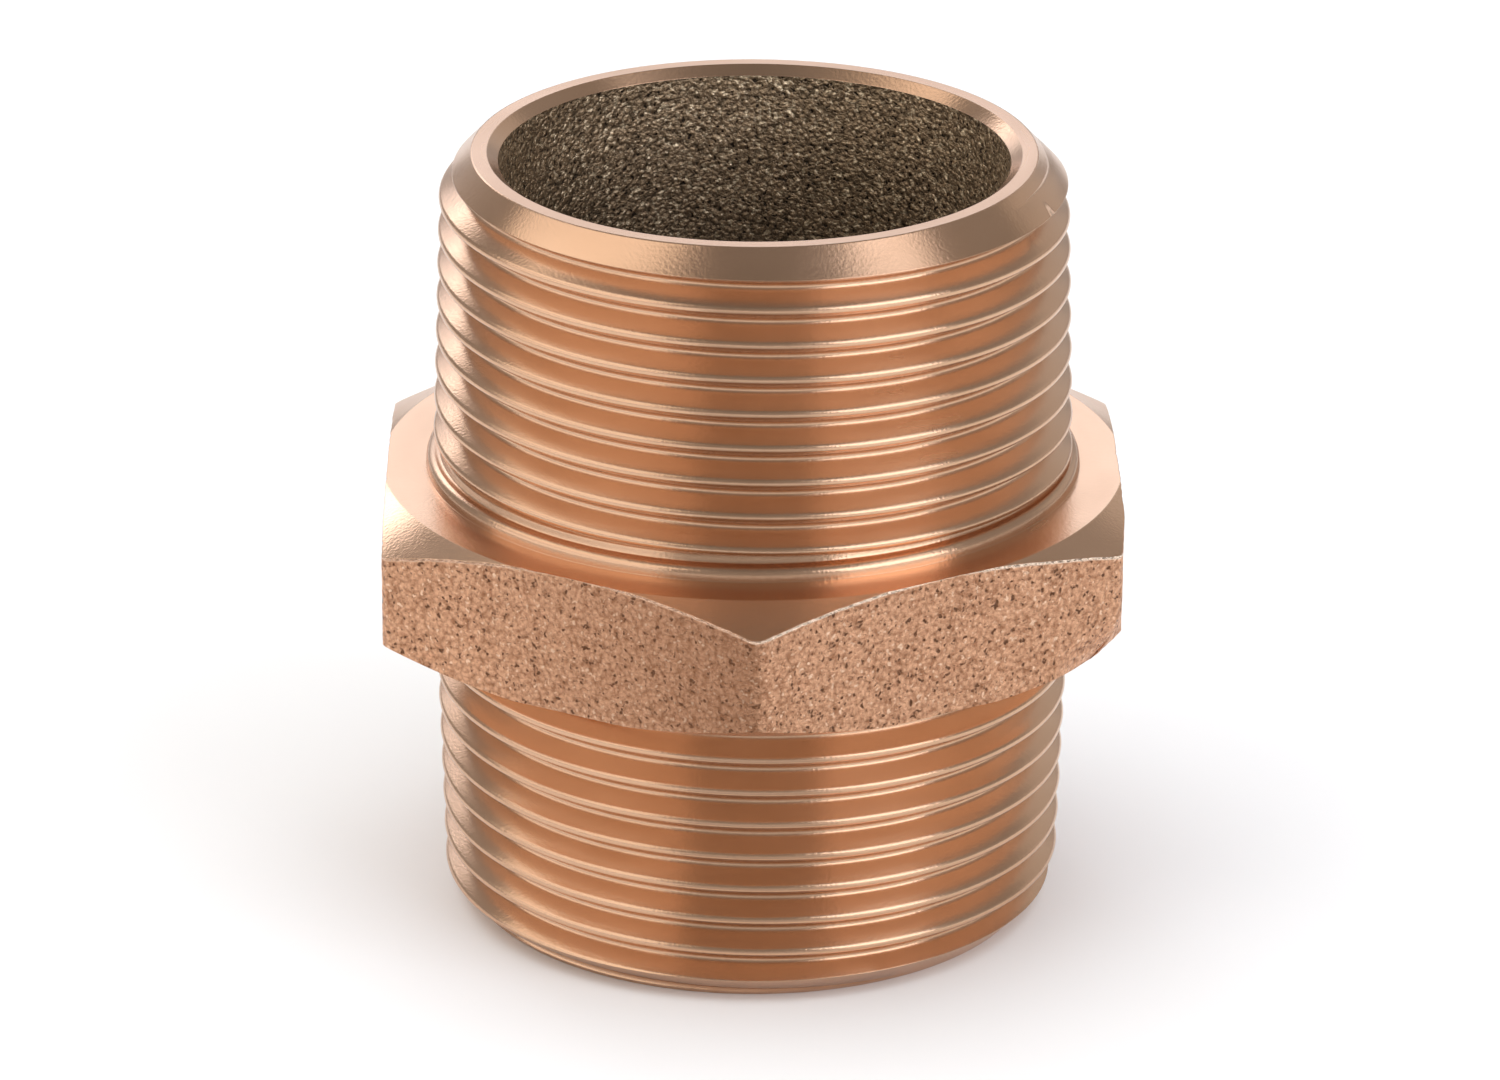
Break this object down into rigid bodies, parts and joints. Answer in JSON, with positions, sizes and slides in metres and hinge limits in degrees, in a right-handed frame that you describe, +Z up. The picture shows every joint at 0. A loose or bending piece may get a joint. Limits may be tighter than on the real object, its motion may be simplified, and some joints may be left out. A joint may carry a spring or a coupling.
{
  "type": "hexagon pipe nipple",
  "caption": "Hexagon pipe nipple in bronze: an external taper thread on each end, a bevelled cast hexagon between them and an open waterway.",
  "frame": {"origin": "centre of the lower end face, on the bore axis", "axes": "+Z up along the bore; a corner of the hexagon points to -Y and two flats face +X and -X"},
  "size_m": [0.0486, 0.0556, 0.052],
  "materials": {
    "bronze": "turned bronze on the threads, rims and bevels; as cast and finely pitted on the hexagon's flats and in the bore"
  },
  "bodies": {
    "root": {"hex_nipple": "bronze"}
  },
  "joints": []
}
